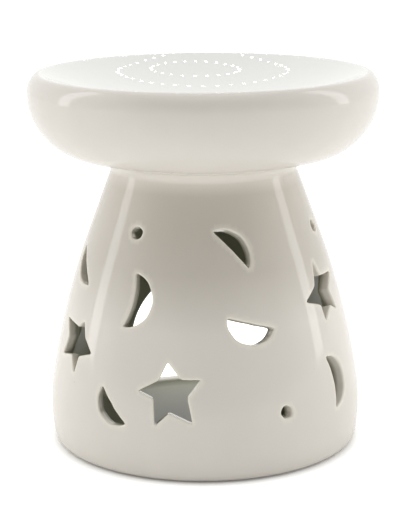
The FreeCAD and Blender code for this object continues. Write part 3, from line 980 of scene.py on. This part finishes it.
skin_bump = nodes.new("ShaderNodeBump")
skin_bump.inputs["Strength"].default_value = 0.2
skin_bump.inputs["Distance"].default_value = 0.0003
links.new(bloom.outputs["Fac"], skin_bump.inputs["Height"])
links.new(skin_bump.outputs["Normal"], shader.inputs["Normal"])
wax.data.materials.append(paraffin)

# ---------------------------------------------------------------- the wick tab
# A stamped disc of tinned steel with a short collar, crimped on the end of the wick so that the
# wick stands up in the wax.

tab_path = [(wick_radius, cup_skin + 0.02), (6.3, cup_skin + 0.02), (6.45, cup_skin + 0.1)]
tab_path += [(6.45, cup_skin + 0.2), (6.3, cup_skin + sheet)]
tab_path += [(4.2, cup_skin + sheet), (4.0, cup_skin + sheet + 0.0), (2.0, cup_skin + sheet)]
tab_path += [(1.6, cup_skin + sheet + 0.15), (collar_radius - 0.05, 1.3), (collar_radius - 0.05, 3.2)]
tab_path += [(1.35, collar_top - 0.05), (wick_radius, collar_top - 0.05), (wick_radius, cup_skin + 0.02)]


def tab_crimp(radius, height, turn):
    if radius > 1.6 or height < 1.2 or radius <= wick_radius:
        return 0.0
    return -0.22 * (0.5 + 0.5 * math.cos(4 * turn)) ** 3


tab = turned_piece("stamped_wick_tab", tab_path, 96, tab_crimp)
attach(tab, "tealight")
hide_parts("wick_sustainer")
tin = bpy.data.materials.new("tinned_steel")
tin.use_nodes = True
nodes, links = tin.node_tree.nodes, tin.node_tree.links
shader = nodes["Principled BSDF"]
shader.inputs["Metallic"].default_value = 1.0
place = nodes.new("ShaderNodeTexCoord")
drawn = nodes.new("ShaderNodeTexNoise")
drawn.inputs["Scale"].default_value = 800
links.new(place.outputs["Object"], drawn.inputs["Vector"])
tint = nodes.new("ShaderNodeMix")
tint.data_type = "RGBA"
tint.inputs["A"].default_value = (0.60, 0.60, 0.61, 1)
tint.inputs["B"].default_value = (0.50, 0.49, 0.48, 1)
links.new(drawn.outputs["Fac"], tint.inputs["Factor"])
links.new(tint.outputs["Result"], shader.inputs["Base Color"])
shader.inputs["Roughness"].default_value = 0.34
tab.data.materials.append(tin)

# ---------------------------------------------------------------- the wick
# Three cotton strands in a flat plait, primed with wax and trimmed above the candle.

plait_turns = 9
wick_rows, strand_sides = 120, 10
wick_points, wick_faces = [], []
for strand in range(3):
    start = len(wick_points)
    phase = math.tau * strand / 3
    for row in range(wick_rows + 1):
        part = row / wick_rows
        height = cup_skin + 0.05 + (wick_top - cup_skin - 0.1) * part
        turn = math.tau * plait_turns * part + phase
        lean = 0.35 * max(0.0, (height - wax_top) / (wick_top - wax_top)) ** 2
        centre = (0.40 * math.sin(turn) + lean, 0.32 * math.sin(2 * turn) * 0.9)
        thick = 0.40 * (1 - 0.12 * (row in (0, wick_rows)))
        for side in range(strand_sides):
            angle = math.tau * side / strand_sides
            x, y = on_circle(centre, thick, angle)
            reach = math.hypot(x - lean, y)
            if reach > wick_radius - 0.02:
                x = lean + (x - lean) * (wick_radius - 0.02) / reach
                y *= (wick_radius - 0.02) / reach
            wick_points.append((x, y, height))
    for row in range(wick_rows):
        for side in range(strand_sides):
            after = (side + 1) % strand_sides
            low, high = start + row * strand_sides, start + (row + 1) * strand_sides
            wick_faces.append((low + side, low + after, high + after, high + side))
    wick_faces.append(tuple(start + side for side in reversed(range(strand_sides))))
    top = start + wick_rows * strand_sides
    wick_faces.append(tuple(top + side for side in range(strand_sides)))
mesh = bpy.data.meshes.new("plaited_wick")
place = np.array(wick_points) * MM + np.array([tealight_x, tealight_y, tealight_z])
mesh.from_pydata(place.tolist(), [], wick_faces)
mesh.shade_smooth()
wick = bpy.data.objects.new("plaited_wick", mesh)
bpy.context.collection.objects.link(wick)
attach(wick, "tealight")
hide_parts("tealight_wick")
cotton = bpy.data.materials.new("waxed_cotton")
cotton.use_nodes = True
nodes, links = cotton.node_tree.nodes, cotton.node_tree.links
shader = nodes["Principled BSDF"]
shader.inputs["Roughness"].default_value = 0.75
shader.inputs["Sheen Weight"].default_value = 0.2
place = nodes.new("ShaderNodeTexCoord")
fibres = nodes.new("ShaderNodeTexWave")
fibres.inputs["Scale"].default_value = 1500
fibres.inputs["Distortion"].default_value = 2
links.new(place.outputs["Object"], fibres.inputs["Vector"])
tint = nodes.new("ShaderNodeMix")
tint.data_type = "RGBA"
tint.inputs["A"].default_value = (0.78, 0.75, 0.66, 1)
tint.inputs["B"].default_value = (0.62, 0.58, 0.49, 1)
links.new(fibres.outputs["Fac"], tint.inputs["Factor"])
links.new(tint.outputs["Result"], shader.inputs["Base Color"])
threads = nodes.new("ShaderNodeBump")
threads.inputs["Strength"].default_value = 0.6
threads.inputs["Distance"].default_value = 0.00008
links.new(fibres.outputs["Fac"], threads.inputs["Height"])
links.new(threads.outputs["Normal"], shader.inputs["Normal"])
wick.data.materials.append(cotton)

# ---------------------------------------------------------------- the studio
# A white table in a white tent, darker on the viewer's side and brighter to look at than by the
# light they give, with a strip light on each side. The table's glow fades to nothing round the
# bell's foot as a painted contact shadow. Small lamps on two ovals, above and behind the dish,
# mirror in its bowl as rings.

# Painted contact shadow: between these distances from the axis the table's glow rises from nothing to
# full.
painted_shadow_start, painted_shadow_end = 0.044, 0.060
table_light, table_seen = 0.26, 1.2
tent_seen = 1.3


def smooth_ramp(tree, value, low, high, to_low, to_high):
    node = tree.nodes.new("ShaderNodeMapRange")
    node.interpolation_type = "SMOOTHSTEP"
    for socket, number in zip(node.inputs[1:5], (low, high, to_low, to_high)):
        socket.default_value = number
    tree.links.new(value, node.inputs["Value"])
    return node.outputs["Result"]


def larger_of(tree, first, second):
    node = tree.nodes.new("ShaderNodeMath")
    node.operation = "MAXIMUM"
    tree.links.new(first, node.inputs[0])
    tree.links.new(second, node.inputs[1])
    return node.outputs["Value"]


floor_mesh = bpy.data.meshes.new("white_table")
half_table = 12.0
floor_mesh.from_pydata(
    [(-half_table, -half_table, 0), (half_table, -half_table, 0),
     (half_table, half_table, 0), (-half_table, half_table, 0)],
    [], [(0, 1, 2, 3)],
)
table = bpy.data.objects.new("white_table", floor_mesh)
bpy.context.collection.objects.link(table)
table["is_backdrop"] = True
paper = bpy.data.materials.new("white_paper")
paper.use_nodes = True
nodes, links = paper.node_tree.nodes, paper.node_tree.links
shader = nodes["Principled BSDF"]
shader.inputs["Base Color"].default_value = (0.86, 0.86, 0.85, 1)
shader.inputs["Roughness"].default_value = 0.9
shader.inputs["Specular IOR Level"].default_value = 0.0
shader.inputs["Emission Color"].default_value = (1.0, 0.995, 0.98, 1)
place = nodes.new("ShaderNodeTexCoord")
away = nodes.new("ShaderNodeVectorMath")
away.operation = "LENGTH"
links.new(place.outputs["Object"], away.inputs[0])
# Painted contact shadow: the table's glow is zero within 44 mm of the axis and full from 60 mm.
glow_past_painted_shadow = smooth_ramp(paper.node_tree, away.outputs["Value"], painted_shadow_start, painted_shadow_end, 0.0, 1.0)
seen = nodes.new("ShaderNodeLightPath")
white = nodes.new("ShaderNodeMix")
white.inputs["A"].default_value = table_light
white.inputs["B"].default_value = table_seen
links.new(seen.outputs["Is Camera Ray"], white.inputs["Factor"])
lit = nodes.new("ShaderNodeMath")
lit.operation = "MULTIPLY"
links.new(glow_past_painted_shadow, lit.inputs[0])
links.new(white.outputs["Result"], lit.inputs[1])
links.new(lit.outputs["Value"], shader.inputs["Emission Strength"])
floor_mesh.materials.append(paper)

tent = bpy.data.worlds.new("white_tent")
tent.use_nodes = True
bpy.context.scene.world = tent
nodes, links = tent.node_tree.nodes, tent.node_tree.links
backdrop = nodes["Background"]
place = nodes.new("ShaderNodeTexCoord")
axes = nodes.new("ShaderNodeSeparateXYZ")
links.new(place.outputs["Generated"], axes.inputs["Vector"])
towards = smooth_ramp(tent.node_tree, axes.outputs["Y"], -0.70, 0.05, 0.10, 1.08)
overhead = smooth_ramp(tent.node_tree, axes.outputs["Z"], 0.70, 0.97, 0.0, 1.6)
card = smooth_ramp(tent.node_tree, axes.outputs["Z"], 0.20, 0.46, 0.60, 0.0)
brighter = larger_of(tent.node_tree, towards, overhead)
brightest = larger_of(tent.node_tree, brighter, card)
seen = nodes.new("ShaderNodeLightPath")
choice = nodes.new("ShaderNodeMix")
choice.inputs["B"].default_value = tent_seen
links.new(seen.outputs["Is Camera Ray"], choice.inputs["Factor"])
links.new(brightest, choice.inputs["A"])
links.new(choice.outputs["Result"], backdrop.inputs["Strength"])
backdrop.inputs["Color"].default_value = (1.0, 0.995, 0.985, 1)

_, (_, _, top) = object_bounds()
lamp_height = top + 0.30
lamp_size = (0.0009, 0.009)
lamp_glow = 15.0
# Each oval: lamps, middle and half width across, middle and half length back, and egg shape.
rings = ((24, 0.0034, 0.019, 0.369, 0.0545, 0.013), (44, 0.0, 0.0345, 0.441, 0.150, 0.045))
for ring, (count, middle_x, half_width, middle_y, half_length, egg) in enumerate(rings):
    for step in range(count):
        turn = math.tau * step / count
        lamp = bpy.data.lights.new(f"ring_lamp_{ring}_{step:02d}", "AREA")
        lamp.shape = "RECTANGLE"
        lamp.size, lamp.size_y = lamp_size
        lamp.energy = lamp_glow * math.pi * lamp_size[0] * lamp_size[1]
        holder = bpy.data.objects.new(lamp.name, lamp)
        back = math.sin(turn)
        y = middle_y + half_length * back - egg * back**2
        holder.location = (middle_x - half_width * math.cos(turn), y, lamp_height)
        bpy.context.collection.objects.link(holder)

strip_glow = 2.0
strip_aim = Vector((0, 0, 0.07))
for side, reach in (("left", -1.2), ("right", 1.2)):
    strip = bpy.data.lights.new(f"{side}_strip", "AREA")
    strip.shape = "RECTANGLE"
    strip.size, strip.size_y = 0.26, 1.3
    strip.energy = strip_glow * math.pi * strip.size * strip.size_y
    holder = bpy.data.objects.new(strip.name, strip)
    holder.location = (reach, 0.17, 0.6)
    facing = strip_aim - holder.location
    holder.rotation_euler = facing.to_track_quat("-Z", "Y").to_euler()
    bpy.context.collection.objects.link(holder)

view = bpy.data.cameras.new("front_view")
view.lens = 116.65
view.sensor_width = 36.0
view.shift_x = -0.00833
camera = bpy.data.objects.new("front_view", view)
bpy.context.collection.objects.link(camera)
camera_back, camera_height = 0.520, 0.1818
camera_dip = math.radians(13.38)
camera_roll = -0.0065
stand = Matrix.Translation((0.0, -camera_back, camera_height))
tilt = Matrix.Rotation(math.pi / 2 - camera_dip, 4, "X")
roll = Matrix.Rotation(camera_roll, 4, "Z")
camera.matrix_world = stand @ tilt @ roll
bpy.context.scene.camera = camera
bpy.context.scene.view_settings.view_transform = "Standard"
